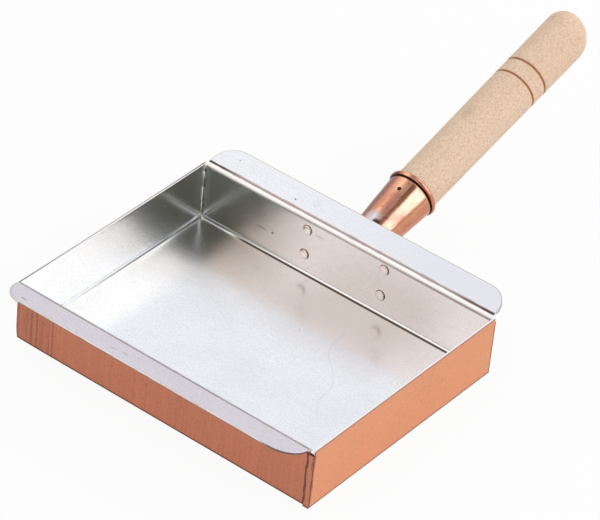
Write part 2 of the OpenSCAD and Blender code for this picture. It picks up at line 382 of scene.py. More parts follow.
def tray_copper():
    """Copper sheet: redder and drawn upright on the front and back walls, and darker there as painted
    shade; finely specked on the side walls, with a few dark streaks near its left corners and darker
    lines along its edges. The darker line along the bottom and one above the tops of the right laps
    are painted shadow."""
    make = Finish("tray_copper")
    x, y, z = make.xyz()
    facing = make.xyz(make("ShaderNodeNewGeometry").outputs["True Normal"])
    on_front = make.ramp(make.math("ABSOLUTE", facing[1]), 0.3, 0.8)
    streaks = make.noise((900, 900, 14), detail=5, roughness=0.7)
    broad = make.noise((190, 190, 9), detail=3, shift=(3, 1, 0))
    speck = make.noise((1500, 1500, 1500), detail=2)
    cloud = make.noise((35, 35, 35), detail=3)
    spots = make.noise((420, 420, 420), detail=2, shift=(5, 0, 2))
    wobble = make.noise((90, 90, 190), detail=2)

    from_left = make.plus(x, half_w)
    streak = make.times(make.near(from_left, 30, 14), make.ramp(broad, 0.42, 0.62, 0.0, 0.28))
    for middle, width, strength in streak_lines:
        line = make.near(make.off(from_left, middle * MM), width, 0.1, strength)
        streak = make.most(streak, make.times(line, make.ramp(broad, 0.2, 0.6, 0.45, 1.0)))
    # Painted shade along the bottom bend of the walls.
    low_edge_shade = make.times(make.near(z, 1.8, 1.1), make.plus(make.times(on_front, 0.20), 0.65))
    corner = make.plus(make.apart(x, half_w, y, -wall_y), make.times(wobble, 2.4 * MM))
    corner = make.times(make.near(corner, 2.6, 1.7, 0.85), make.ramp(z, 2 * MM, 20 * MM, 0.4, 1.0))
    seam = make.off(make.plus(x, make.times(wobble, 2.2 * MM)), half_w - lap_w + 0.75 * MM)
    seam = make.times(make.near(seam, 1.20, 0.50, 0.92), on_front, make.ramp(z, 0.8 * MM, 1.6 * MM))
    # Painted shadow in the recess above the tops of the right laps, joined below with the real streaks.
    gap_shadow = make.times(make.ramp(x, half_w - 6 * MM, half_w - 4 * MM),
                     make.near(make.off(z, lap_top + 0.4 * MM), 1.0, 0.5, 0.95))
    streaks_and_gap_shadow = make.times(make.most(streak, gap_shadow), on_front)
    under_rim = make.times(make.near(make.off(z, rim_z), 0.9, 0.3, 0.70), make.less(1.0, on_front))
    tone = make.plus(make.times(make.ramp(streaks, 0.3, 0.75), on_front, 0.26),
                     make.ramp(cloud, 0.35, 0.8, 0.0, 0.06), make.ramp(speck, 0.40, 0.8, 0.0, 0.28),
                     make.ramp(spots, 0.60, 0.74, 0.0, 0.22))
    share = make.most(make.plus(tone, streaks_and_gap_shadow), corner, under_rim)
    colour = make.tint(make.mix(on_front, COPPER, COPPER_RED_SHADED), (share, COPPER_DARK),
                       (seam, (0.13, 0.045, 0.045)), (low_edge_shade, (0.13, 0.05, 0.035)))
    roughness = make.ramp(speck, 0.2, 0.8, 0.30, 0.46)
    height = make.plus(make.times(streaks, on_front, 0.5), make.times(speck, 0.5))
    return make.surface(colour, roughness, height, 0.015 * MM)


def worn_edge():
    """The broken arrises of the sheet, brown from handling."""
    make = Finish("worn_edge")
    rub = make.noise((300, 300, 300), detail=3)
    colour = make.mix(make.ramp(rub, 0.35, 0.7), (0.33, 0.16, 0.11), (0.50, 0.25, 0.17))
    return make.surface(colour, make.ramp(rub, 0.3, 0.7, 0.36, 0.5), rub, 0.02 * MM)


def smeared_edge():
    """The cut edges of the flanges: copper with a thin uneven smear of tin, and painted shadow along
    the bottom, deeper round the right-hand corners.
    """
    make = Finish("smeared_edge")
    x, y, z = make.xyz()
    rub = make.noise((90, 400, 900), detail=4)
    colour = make.mix(make.ramp(rub, 0.35, 0.65), (0.88, 0.85, 0.86), (0.70, 0.58, 0.53))
    rise = math.radians(flange_rise)
    low_y = wall_y + flange_bend - flange_bend * math.sin(rise)
    low_z = foot_z + flange_bend * math.cos(rise)
    over = make.plus(make.times(make.less(z, low_z), math.cos(rise)),
                     make.times(make.less(make.math("ABSOLUTE", y), low_y), -math.sin(rise)))
    # Painted shadow along the bottom of the cut edge, deeper round the right-hand corners.
    curved = make.times(make.ramp(x, half_w - 26 * MM, half_w - 16 * MM), make.near(over, 1.25, 0.95))
    shaded = make.most(make.near(over, 0.50, 0.22), curved)
    colour = make.mix(make.times(shaded, 0.85), colour, (0.09, 0.05, 0.04))
    return make.surface(colour, make.ramp(rub, 0.3, 0.7, 0.3, 0.42), rub, 0.02 * MM)


def wiped_tin(name, stained=True):
    """Tin wiped on hot: pale grey and finely grained, with broad clouds and smears. Inside the tray
    it has a faint scratch and some specks, and brown flux is left in the creases, in the folding
    iron's marks and along the rims. It also has painted shade on the back of the bottom, in the
    back left corner under a brownish haze, low on the back flange's bend and along the back flange
    towards the right. On a cut edge it is warmer, and stained on the outer side."""
    make = Finish(name)
    x, y, z = make.xyz()
    cloud = make.noise((22, 30, 30), detail=4)
    smear_and_reflection = make.noise((60, 420, 420), detail=4, roughness=0.65)
    grain = make.noise((1300, 1300, 1300), detail=2)
    pepper = make.noise((760, 760, 760), detail=3, roughness=0.7, shift=(1, 4, 6))
    share = make.plus(make.ramp(cloud, 0.35, 0.75, 0.0, 0.22), make.ramp(smear_and_reflection, 0.45, 0.8, 0.0, 0.20),
                      make.ramp(pepper, 0.38, 0.68, 0.0, 0.40), make.ramp(grain, 0.30, 0.70, 0.0, 0.35))
    colour = make.mix(share, TIN, TIN_SMEAR)
    roughness = make.plus(make.ramp(cloud, 0.3, 0.7, 0.16, 0.22), make.times(grain, 0.08))
    pits = make("ShaderNodeTexVoronoi", Vector=make.place, Scale=70.0).outputs["Distance"]
    stain = make.ramp(pits, 0.045, 0.018, 0.0, 0.35)
    if stained:
        wide, deep = make.math("ABSOLUTE", x), make.math("ABSOLUTE", y)
        uneven = make.noise((120, 120, 120), detail=3)
        wander = make.ramp(uneven, 0.3, 0.7, 0.8, 1.15)
        inner_x, inner_y, floor_z = half_w - sheet_t - tin_t, wall_y - sheet_t - tin_t, sheet_t + tin_t

        bent = make.times(make.math("SINE", make.times(y, 157)), -3.3 * MM)
        scratch = make.plus(x, make.times(y, 0.58), bent, make.times(uneven, 2 * MM))
        scratch = make.times(make.near(make.off(scratch, scratch_x), 0.90, 0.1, 0.07),
                             make.near(y, 56, 44), make.ramp(y, -22 * MM, -10 * MM), make.near(z, 3, 2.5))

        def crease(place, wall, turned, width=0.68 * MM):
            """A line of flux along a bend, where the bend has turned so many degrees."""
            turned = math.radians(turned)
            inset, lift = pooled_bend * (1 - math.sin(turned)), pooled_bend * (1 - math.cos(turned))
            return make.ramp(make.apart(place, wall - inset, z, floor_z + lift), width, 0.5 * width)

        back_crease = make.times(crease(y, inner_y, 27, 0.88 * MM),
                                 make.ramp(x, -76 * MM, -64 * MM, 0.0, 0.95))
        along_left = make.times(make.ramp(y, -70 * MM, 44 * MM, 0.05, 0.80),
                                make.ramp(y, 52 * MM, 42 * MM, 0.3, 1.0))
        left_crease = make.times(crease(make.times(x, -1.0), inner_x, 40), along_left)
        side_marks = make.times(make.near(make.off(z, 3.6 * MM), 0.30, 0.12),
                                make.ramp(wide, inner_x - 1 * MM, inner_x - 0.2 * MM), 0.22)
        left_bend = make.times(make.ramp(x, 2.9 * MM - inner_x, 2.2 * MM - inner_x),
                               make.near(z, 4.3, 3.6), make.near(y, 46, 20))
        roughness = make.plus(roughness, make.times(left_bend, 0.35))
        colour = make.mix(left_bend, colour, (0.97, 0.93, 0.87))
        front_crease = make.times(crease(make.times(y, -1.0), inner_y, 45), 0.35)
        right_crease = make.times(crease(x, inner_x, 45), 0.35)
        stain = make.most(stain, scratch, back_crease, left_crease, side_marks, front_crease, right_crease)

        rise = math.radians(flange_rise)
        mark_y = wall_y + flange_bend - (flange_bend + sheet_t + tin_t) * math.sin(rise)
        mark_z = foot_z + (flange_bend + sheet_t + tin_t) * math.cos(rise)
        front_mark = make.math("DIVIDE", make.apart(y, -mark_y, z, mark_z), wander)
        front_mark = make.near(front_mark, 0.90, 0.30, 0.62)
        back_off = make.math("DIVIDE", make.apart(y, mark_y, z, mark_z), wander)
        soft_mark = make.near(back_off, 1.50, 0.4, 0.72)
        at_ends = make.most(make.ramp(x, -70 * MM, -88 * MM), make.ramp(x, 60 * MM, 92 * MM))
        stain = make.most(stain, make.times(make.near(back_off, 0.85, 0.4, 0.95), at_ends))
        at_back = make.ramp(y, inner_y - 1 * MM, inner_y - 0.3 * MM)
        foot_line = make.times(make.near(make.off(z, foot_z + 0.2 * MM), 0.60, 0.20),
                               make.ramp(x, -5 * MM, 80 * MM, 0.08, 0.55), at_back)
        # Painted shade on the lower part of the back flange's bend, inside.
        foot_shade = make.times(make.ramp(z, foot_z + 2.1 * MM, foot_z + 1.5 * MM),
                               make.ramp(z, foot_z - 0.3 * MM, foot_z + 0.5 * MM), at_back, 0.9)
        past_bend = make.plus(make.times(make.less(deep, mark_y), math.cos(rise)),
                              make.times(make.less(z, mark_z), math.sin(rise)))
        past_bend = make.most(make.less(past_bend, flange_len - flange_corner), 0.0)
        past_side = make.most(make.less(wide, half_w - flange_inset - flange_corner), 0.0)
        from_rim = make.less(flange_corner, make.apart(past_bend, 0.0, past_side, 0.0))
        rim_line = make.times(make.near(from_rim, 0.60, 0.15), make.ramp(y, -wall_y, wall_y, 0.25, 0.62),
                              make.ramp(deep, wall_y + 2 * MM, wall_y + 3 * MM))
        thin = make.most(foot_line, rim_line, front_mark, soft_mark)

        for dash_x, dash_y, strength in dashes:
            sideways = make.times(make.less(x, dash_x * MM), 0.3)
            dash = make.math("DIVIDE", make.apart(sideways, 0.0, y, dash_y * MM), wander)
            stain = make.most(stain, make.near(dash, 0.95, 0.3, strength))
        for brown_x, brown_z, half_long, strength in wall_marks:
            sideways = make.times(make.less(x, brown_x * MM), 0.95 / half_long)
            brown = make.math("DIVIDE", make.apart(sideways, 0.0, z, brown_z * MM), wander)
            stain = make.most(stain, make.times(make.near(brown, 0.95, 0.3, strength), at_back))
        for speck_x, speck_y, strength in flange_specks:
            black = make.apart(x, speck_x * MM, y, speck_y * MM)
            stain = make.most(stain, make.near(black, 0.80, 0.3, strength))
        drop_x, drop_y, drop_r, strength = ring_mark
        drop = make.off(make.apart(x, drop_x * MM, y, drop_y * MM), drop_r * MM)
        stain = make.most(stain, make.near(drop, 0.70, 0.2, strength))

        # Painted shade over the back of the bottom, deepest just right of the middle.
        floor_shade = make.times(make.ramp(y, 8 * MM, 58 * MM), make.ramp(x, -45 * MM, 5 * MM, 0.25, 1.0),
                          make.near(z, 2.5, 1.8, 0.80), make.ramp(x, 35 * MM, 75 * MM, 1.0, 0.10))
        # A brownish haze in the back left corner, made deeper there as painted shade.
        haze_and_corner_shade = make.times(make.near(make.apart(x, -half_w, y, wall_y), 80, 22, 0.48),
                          make.ramp(x, 2 * MM - inner_x, 6 * MM - inner_x),
                          make.ramp(z, foot_z + 1 * MM, foot_z))
        # Painted shade on the back flange, deepening towards the right.
        flange_shade_to_right = make.times(make.ramp(y, wall_y, wall_y + 2 * MM),
                              make.ramp(x, -80 * MM, 90 * MM, 0.0, 0.85))
        colour = make.tint(colour, (floor_shade, (0.62, 0.575, 0.55)), (haze_and_corner_shade, (0.47, 0.42, 0.35)),
                           (foot_shade, (0.60, 0.565, 0.545)), (flange_shade_to_right, (0.74, 0.72, 0.745)),
                           (thin, FLUX_THIN))
    else:
        colour = make.mix(0.6, colour, (0.95, 0.87, 0.82))
        left_line = make.ramp(x, 1.10 * MM - half_w, 0.65 * MM - half_w, 0.0, 0.8)
        right_line = make.ramp(x, half_w - 0.50 * MM, half_w - 0.15 * MM, 0.0, 0.75)
        rim_line = make.times(make.most(left_line, right_line),
                              make.ramp(z, rim_z - 1 * MM, rim_z - 0.5 * MM))
        stain = make.most(stain, rim_line)
    colour = make.mix(stain, colour, FLUX)
    roughness = make.plus(roughness, make.times(stain, 0.25))
    height = make.plus(make.times(grain, 0.6), make.times(smear_and_reflection, 0.6), make.times(pepper, 0.5))
    return make.surface(colour, roughness, height, 0.012 * MM)


copper = tray_copper()
tinned_edge = wiped_tin("tinned_edge", stained=False)
brown_edge = worn_edge()


def cut_finish(place):
    """Which finish a cut edge of the sheet takes: tinned on the side walls, smeared on a flange."""
    return 2 if abs(place.y) > wall_y + 3 * MM else 1


tray = folded_sheet("tray", (0, edge_bend), (sheet_t, base_bend), cut_finish)
paint(tray, copper, tinned_edge, smeared_edge(), brown_edge)
ease_edges(tray, 0.22 * MM, limit="WEIGHT", finish=3)
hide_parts("tray_body")
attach(tray, "root")


# Each side wall folds a narrow lap round its two corners, hammered flat on the wall beside it.
# The laps' free edges were cut by eye, and the front left one was hammered in until it was gone.
cut_waver = 0.45 * MM           # how far a free edge wanders
lap_taper = 0.45 * MM           # how much narrower a lap is at its top
taper_len = 3 * MM


def corner_lap(name, right, front):
    """One lap of a side wall."""
    bm = bmesh.new()
    steps = 16
    rows = arc(wall_y + lap_t - edge_bend, edge_bend, edge_bend, -40, -5, 4)
    for step in range(steps + 1):
        rows.append((wall_y + lap_t, edge_bend + (lap_top - edge_bend) * step / steps))
    grid = []
    for y, z in rows:
        cut = cut_waver * noise.noise(Vector((right * 3, front * 5, z * 260)))
        cut += lap_taper * min(max((z - lap_top + taper_len) / taper_len, 0), 1)
        outer, inner = half_w - 0.02 * MM, half_w - lap_w + cut
        across_lap = [outer + (inner - outer) * share for share in (0, 0.33, 0.67, 1)]
        grid.append([(right * x, front * y, z) for x in across_lap])
    add_grid(bm, grid)
    if right * front > 0:
        bmesh.ops.reverse_faces(bm, faces=bm.faces)
    piece = to_object(bm, name)
    solid = piece.modifiers.new("thickness", "SOLIDIFY")
    solid.thickness = lap_t
    solid.offset = -1
    solid.material_offset_rim = 1
    ease_edges(piece, 0.12 * MM, finish=1)
    paint(piece, copper, brown_edge)
    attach(piece, "root")


corners = [(-1, -1, "front_left"), (-1, 1, "back_left"), (1, -1, "front_right"), (1, 1, "back_right")]
for right, front, word in corners[1:]:
    corner_lap(f"corner_lap_{word}", right, front)


# The lining is tin, wiped hot over the whole inside of the tray and over both flanges. It is a
# skin that shows every dent of the copper under it, and it pools in the bends of the bottom.
lining = folded_sheet("tin_lining_skin", (sheet_t, base_bend), (sheet_t + tin_t, pooled_bend),
                      lambda place: 1)
paint(lining, wiped_tin("wiped_tin"), tinned_edge)
ease_edges(lining, 0.05 * MM, segments=1)
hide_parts("tin_lining")
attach(lining, "root")


# Solder runs down each inside corner and stands in small lumps at its foot. It was drawn in with
# an iron, which left it brighter and more uneven than the wiped tin.
solder_reach = 1.5 * MM
foot_swell = 1.0 * MM           # how much further the solder reaches at its foot
foot_height = 2.2 * MM
solder_waver = 0.16             # how uneven the solder and its lumps are, as a share of their size
lump_sizes = ((1.5, 1.5, 1.2), (2.4, 1.0, 0.75), (1.0, 2.3, 0.75), (1.0, 1.0, 1.4))


def weld(bm, fill=False):
    """Joins points that lie on one another, closes open ends if asked to, and turns the faces
    outward."""
    bmesh.ops.remove_doubles(bm, verts=bm.verts, dist=0.001 * MM)
    if fill:
        bmesh.ops.holes_fill(bm, edges=bm.edges)
    bmesh.ops.recalc_face_normals(bm, faces=bm.faces)


def add_lump(bm, centre, radius):
    """A small round lump, uneven and a little lower than it is wide."""
    made = bmesh.ops.create_icosphere(bm, subdivisions=3, radius=1)["verts"]
    for vert in made:
        push = 0.8 * radius * (1 + solder_waver * noise.noise(vert.co * 1.8 + centre * 900))
        vert.co = centre + vert.co * push
        vert.co.z = max(vert.co.z, sheet_t)


def solder_metal():
    """Bright solder with darker flux lying in its hollows."""
    make = Finish("corner_solder")
    lumps = make.noise((500, 500, 300), detail=4)
    fine = make.noise((1600, 1600, 1600), detail=2)
    colour = make.mix(make.ramp(lumps, 0.42, 0.62, 0.0, 0.85), (0.74, 0.71, 0.64), (0.20, 0.165, 0.12))
    roughness = make.ramp(fine, 0.3, 0.7, 0.14, 0.26)
    return make.surface(colour, roughness, lumps, 0.06 * MM)


def corner_solder(name, right, back, node):
    """Solder in one inside corner."""
    depth = sheet_t + tin_t
    corner_x, corner_y = half_w - depth, wall_y - depth
    bm = bmesh.new()
    rows = []
    steps = 60
    for step in range(steps + 1):
        z = depth + (foot_z - depth) * step / steps
        swell = 1 + solder_waver * noise.noise(Vector((right * 2, back * 3, z * 420)))
        reach = solder_reach * swell + foot_swell * hump(z - depth, foot_height)
        ring = [(0, 0)]
        ring += [(reach * (1 - math.sin(math.radians(angle))), reach * (1 - math.cos(math.radians(angle))))
                 for angle in range(0, 91, 6)]
        row = [(right * (corner_x - off_x), back * (corner_y - off_y), z) for off_x, off_y in ring]
        rows.append(row + row[:1])
    add_grid(bm, rows)
    for off_x, off_y, radius in lump_sizes:
        centre = (right * (corner_x - off_x * MM), back * (corner_y - off_y * MM), depth + 0.4 * MM)
        add_lump(bm, Vector(centre), radius * MM)
    weld(bm, fill=True)
    piece = to_object(bm, name)
    paint(piece, solder)
    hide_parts(node)
    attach(piece, "root")


solder = solder_metal()
for right, back, word in corners:
    corner_solder(f"corner_solder_{word}", right, back, f"solder_{word}")


# The socket is a sheet of copper rolled into a cone and lapped underneath. Its mouth is rolled
# into a bead, and at the wall it is spread out into two flat ears, which the rivets hold.
handle_z = 20 * MM              # where the handle's axis meets the back wall
handle_rise = math.radians(16.3)
socket_t = 1.1 * MM
socket_wall_r = 9.65 * MM
socket_mouth_r = 14.2 * MM
socket_len = 57.6 * MM
bead_r = 1.45 * MM
bead_inset = 0.5 * MM
seam_w = 6 * MM
seam_t = 0.5 * MM
ear_half_w = 31.0 * MM
ear_half_h = 10.95 * MM
ear_mid_z = 22.15 * MM
neck_depth = 0.55 * MM          # of the neck under the bead
neck_half = 0.40 * MM
dimple_depth = 0.35 * MM        # of the dimple round the nail
dimple_half = 1.5 * MM
small_dent = 0.09 * MM
broad_dent = 0.12 * MM
nail_along = 49.2 * MM
nail_r = 1.2 * MM
flange_reflection_along = 27 * MM           # where a painted reflection of the flange lies on the socket, beside a black spot
# Black for a spot at the socket's foot and for painted shadow under the bead.
BLACK_SPOT_AND_SHADOW = (0.03, 0.012, 0.01)
around = 144                    # quads round the socket and the handle

handle_foot = Vector((0, wall_y, handle_z))
handle_axis = Vector((0, math.cos(handle_rise), math.sin(handle_rise)))
handle_top = Vector((0, -math.sin(handle_rise), math.cos(handle_rise)))


def full_turn(steps):
    """Angles all the way round, the last one back at the start."""
    return [2 * math.pi * step / steps for step in range(steps + 1)]


def outward(angle):
    """The direction away from the handle's axis; angle 0 is on top."""
    return handle_top * math.cos(angle) + Vector((math.sin(angle), 0, 0))


def on_handle(along, radius, angle):
    """A point at a distance up the handle's axis and a radius from it."""
    return handle_foot + handle_axis * along + outward(angle) * radius


def cone_r(along):
    """Radius of the socket's outside."""
    return socket_wall_r + (socket_mouth_r - socket_wall_r) * along / socket_len


def socket_skin(along, angle):
    """A point on the outside of the cone, with its seam, its neck under the bead, the dimple round
    the nail and the small dents of the mallet."""
    radius = cone_r(along)
    past_seam = (math.pi - angle) * radius
    if 0 <= past_seam < seam_w and along < socket_len - 2 * bead_r:
        radius += seam_t * min(1, 2 - 2 * past_seam / seam_w)
    neck = socket_len - 0.5 * MM
    radius -= neck_depth * hump(along - neck, neck_half)
    near_nail = math.hypot(along - nail_along, radius * angle)
    radius -= dimple_depth * hump(near_nail, dimple_half)
    place = on_handle(along, radius, angle)
    dent = small_dent * noise.noise(place * 140) + broad_dent * noise.noise(place * 45)
    return place + outward(angle) * (dent - 0.1 * MM)


def socket_run(angle):
    """One line of the socket's outside, from its mouth down to the wall and out to the ear's edge."""
    ear_y = wall_y + socket_t
    sine, cosine = math.sin(handle_rise), math.cos(handle_rise)
    slope = (socket_mouth_r - socket_wall_r) / socket_len
    lean = sine * math.cos(angle)
    foot = (socket_t + socket_wall_r * lean) / (cosine - slope * lean)
    fillet = 5.5 * MM
    fine = [socket_len - step * 0.2 * MM for step in range(10)]
    long_steps = 26
    top = fine[-1]
    coarse = [top + (foot + fillet - top) * step / long_steps for step in range(1, long_steps + 1)]
    points = [socket_skin(along, angle) for along in fine + coarse]
    corner = on_handle(foot, cone_r(foot), angle)
    out = Vector((corner.x, 0, corner.z - ear_mid_z))
    from_mid = out.length
    out.normalize()
    edge = (abs(out.x / ear_half_w) ** 6 + abs(out.z / ear_half_h) ** 6) ** (-1 / 6)
    length = max(edge - from_mid, 0.7 * MM)
    start = points[-1]
    flat = Vector((corner.x, ear_y, corner.z))
    end = flat + out * min(0.7 * fillet, 0.6 * length)
    shares = [step / 8 for step in range(1, 9)]
    points += [start * (1 - share) ** 2 + corner * 2 * share * (1 - share) + end * share ** 2
               for share in shares]
    return points + [end.lerp(flat + out * length, share) for share in shares]


def polished_copper():
    """Polished copper with a soft cloudy tarnish, painted dark reflections in bands along it, a painted
    reflection of the flange with a black spot beside it, and painted shadow in the crease of the bead."""
    make = Finish("polished_copper")
    along = make("ShaderNodeVectorMath", {"operation": "DOT_PRODUCT"}, i0=make.place,
                 i1=tuple(handle_axis)).outputs["Value"]
    along = make.less(along, handle_foot.dot(handle_axis))
    cloud = make.noise((110, 60, 110), detail=4)
    speck = make.noise((900, 500, 900), detail=3)
    spots = make.noise((320, 260, 320), detail=3, shift=(2, 1, 5))
    colour = make.mix(make.ramp(cloud, 0.36, 0.70, 0.0, 0.85), (0.88, 0.46, 0.28), (0.60, 0.235, 0.145))
    x = make.xyz()[0]
    girth = make.plus(socket_wall_r, make.times(along, (socket_mouth_r - socket_wall_r) / socket_len))
    out = make.math("DIVIDE", x, girth)
    ragged = make.plus(out, make.times(make.less(cloud, 0.5), 0.25))
    # A painted reflection of the flange at the socket's foot, and a black spot beside it.
    smear_and_reflection = make.near(make.apart(along, flange_reflection_along, x, -0.8 * MM), 6.5, 1.0, 0.8)
    black = make.near(make.apart(along, flange_reflection_along - 2 * MM, x, 2.6 * MM), 2.8, 1.0, 0.9)
    # Painted shadow in the crease under the bead.
    crease = make.near(make.off(along, socket_len - 0.2 * MM), 0.62, 0.25)
    # Painted dark reflections along the left side, along the right side and in a band near the top.
    colour = make.tint(colour, (make.ramp(spots, 0.56, 0.70, 0.0, 0.55), (0.34, 0.10, 0.065)),
                       (make.ramp(ragged, -0.22, -0.56, 0.0, 0.88), (0.20, 0.06, 0.045)),
                       (make.ramp(ragged, 0.80, 0.98, 0.0, 0.60), (0.58, 0.21, 0.12)),
                       (make.ramp(make.off(ragged, 0.15), 0.26, 0.06, 0.0, 0.70), (0.26, 0.11, 0.09)),
                       (smear_and_reflection, (0.58, 0.57, 0.60)), (black, BLACK_SPOT_AND_SHADOW), (crease, BLACK_SPOT_AND_SHADOW))
    roughness = make.plus(make.ramp(cloud, 0.3, 0.7, 0.13, 0.24), make.times(crease, 0.3))
    height = make.plus(make.times(cloud, 1.5), make.times(speck, 0.2))
    return make.surface(colour, roughness, height, 0.08 * MM)


def bore(piece, centre, direction, radius, length):
    """Cuts a round hole through a piece."""
    bm = bmesh.new()
    turn = direction.to_track_quat("Z", "Y").to_matrix().to_4x4()
    bmesh.ops.create_cone(bm, cap_ends=True, segments=32, radius1=radius, radius2=radius, depth=length,
                          matrix=Matrix.Translation(centre) @ turn)
    drill = to_object(bm, "drill")
    cut = piece.modifiers.new("hole", "BOOLEAN")
    cut.object = drill
    cut.solver = "EXACT"
    bpy.context.view_layer.update()
    shape = bpy.data.meshes.new_from_object(piece.evaluated_get(bpy.context.evaluated_depsgraph_get()))
    piece.modifiers.clear()
    piece.data = shape
    bpy.data.objects.remove(drill)


def make_socket():
    """The rolled sheet with its ears, and the bead at its mouth."""
    bm = bmesh.new()
    angles = [math.pi - 2 * math.pi * step / around for step in range(around)]
    rows = [socket_run(angle) for angle in angles]
    add_grid(bm, rows + rows[:1])
    bmesh.ops.remove_doubles(bm, verts=bm.verts, dist=0.001 * MM)
    bm.normal_update()
    top = max(bm.faces, key=lambda face: face.calc_center_median().z)
    if top.normal.z < 0:
        bmesh.ops.reverse_faces(bm, faces=bm.faces)
    socket = to_object(bm, "socket")
    solid = socket.modifiers.new("thickness", "SOLIDIFY")
    solid.thickness = socket_t
    solid.offset = -1
    bore(socket, on_handle(nail_along, cone_r(nail_along), 0), handle_top, nail_r, 6 * MM)

    bm = bmesh.new()
    rings = []
    for angle in full_turn(around):
        ring = []
        for roll in full_turn(20):
            thick = bead_r * (1 + 0.05 * noise.noise(Vector((math.sin(angle), math.cos(angle), 0)) * 3))
            radius = socket_mouth_r - bead_inset + 0.05 * MM + thick * 0.98 * math.cos(roll)
            ring.append(on_handle(socket_len + bead_r + thick * 0.98 * math.sin(roll), radius, angle))
        rings.append(ring)
    add_grid(bm, rings)
    weld(bm)
    bead = to_object(bm, "socket_bead")
    return socket, bead


rolled_copper = polished_copper()
socket, bead = make_socket()
for piece in (socket, bead):
    piece.data.materials.clear()
    paint(piece, rolled_copper)
    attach(piece, "root")
ease_edges(socket, 0.15 * MM)
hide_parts("handle_socket")


# Four copper rivets hold the ears on the back wall. Their heads inside the tray were tinned with
# the rest and have brown flux round their rims, and their tails were hammered over the ears. The
# outlines are rows of radius and height in mm.
rivet_xs = (-26.0 * MM, 26.0 * MM)
rivet_zs = {"upper": 30.5 * MM, "lower": 13.8 * MM}
shank_r = 2.0 * MM
hammer_knock = 0.10 * MM        # how uneven the hammer left a rivet
head_outline = ((3.1, 0.0), (3.0, 0.25), (2.7, 0.50), (2.2, 0.68), (1.5, 0.80), (0.7, 0.86))
head_slips = {"upper_left": (0.9, -1.1), "upper_right": (0.5, 0.0), "lower_left": (0.5, -0.4),
              "lower_right": (-0.1, -0.3)}     # the heads sit a little off their shanks, in mm
tail_outline = ((2.6, 0.0), (2.5, 0.4), (2.15, 0.78), (1.5, 1.06), (0.8, 1.18))


def rivet(name, x, z, slip):
    """One rivet, turned about its axis along y and dented a little by the hammer. Its head inside
    the tray has slipped a little sideways."""
    inner, outer = wall_y - sheet_t - tin_t, wall_y + socket_t
    profile = [(inner - height * MM, radius * MM) for radius, height in reversed(head_outline)]
    profile += [(inner + 0.05 * MM, shank_r), (outer - 0.05 * MM, shank_r)]
    profile += [(outer + height * MM, radius * MM) for radius, height in tail_outline]
    bm = bmesh.new()
    rows = []
    for angle in full_turn(40):
        row = []
        for y, radius in profile:
            knock = hammer_knock * noise.noise(Vector((x * 90 + math.cos(angle), z * 90, math.sin(angle))))
            aside, down = [part * MM if y <= inner else 0 for part in slip]
            row.append((x + aside + (radius + knock) * math.cos(angle), y,
                        z + down + (radius + knock) * math.sin(angle)))
        rows.append(row)
    add_grid(bm, rows)
    weld(bm, fill=True)
    for face in bm.faces:
        y = face.calc_center_median().y
        face.material_index = 2 if abs(y - inner + 0.2 * MM) < 0.2 * MM else int(y > inner)
    piece = to_object(bm, name)
    paint(piece, tinned_edge, rolled_copper, brown_edge)
    return piece


for height_word, z in rivet_zs.items():
    for side_word, x in zip(("left", "right"), rivet_xs):
        word = f"{height_word}_{side_word}"
        piece = rivet(f"rivet_{word}_head", x, z, head_slips[word])
        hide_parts(f"rivet_{word}")
        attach(piece, "root")


# The handle is turned from one stick of plain pale wood, sanded and left bare. Two rings were
# burnt into it on the lathe, and its tenon fills the socket.
handle_len = 211.0 * MM
grip_r = 13.95 * MM             # where the round end begins
tenon_start = 16 * MM
tenon_fit = 0.05 * MM
rings_along = (149.7 * MM, 160.5 * MM)
ring_w = 1.3 * MM
ring_depth = 0.5 * MM
lathe_waver = 0.004             # how uneven the turned wood is, as a share of its radius
# Spots on the wood, in mm: how far along the handle, across it, radius, strength.
wood_spots = ((114.4, -2.5, 4.5, 0.26), (197.0, -6.6, 1.6, 0.25), (195.3, 0.3, 1.4, 0.22),
              (195.4, 11.4, 1.4, 0.20), (181.3, 10.3, 1.2, 0.20))
tip_lean = 0.2                  # the round end was sanded askew


def grip_radius(along):
    """Radius of the turned wood, with its two ring grooves and the round end."""
    mouth_r = socket_mouth_r - socket_t - tenon_fit
    end = handle_len - grip_r
    if along <= socket_len:
        return cone_r(along) - socket_t - tenon_fit - 0.15 * MM
    if along > end:
        return math.sqrt(max(grip_r ** 2 - (along - end) ** 2, 0))
    radius = mouth_r + (grip_r - mouth_r) * (along - socket_len) / (end - socket_len)
    for ring in rings_along:
        off = abs(along - ring) / (ring_w / 2)
        if off < 1:
            radius -= ring_depth * (1 - off * off)
    return radius


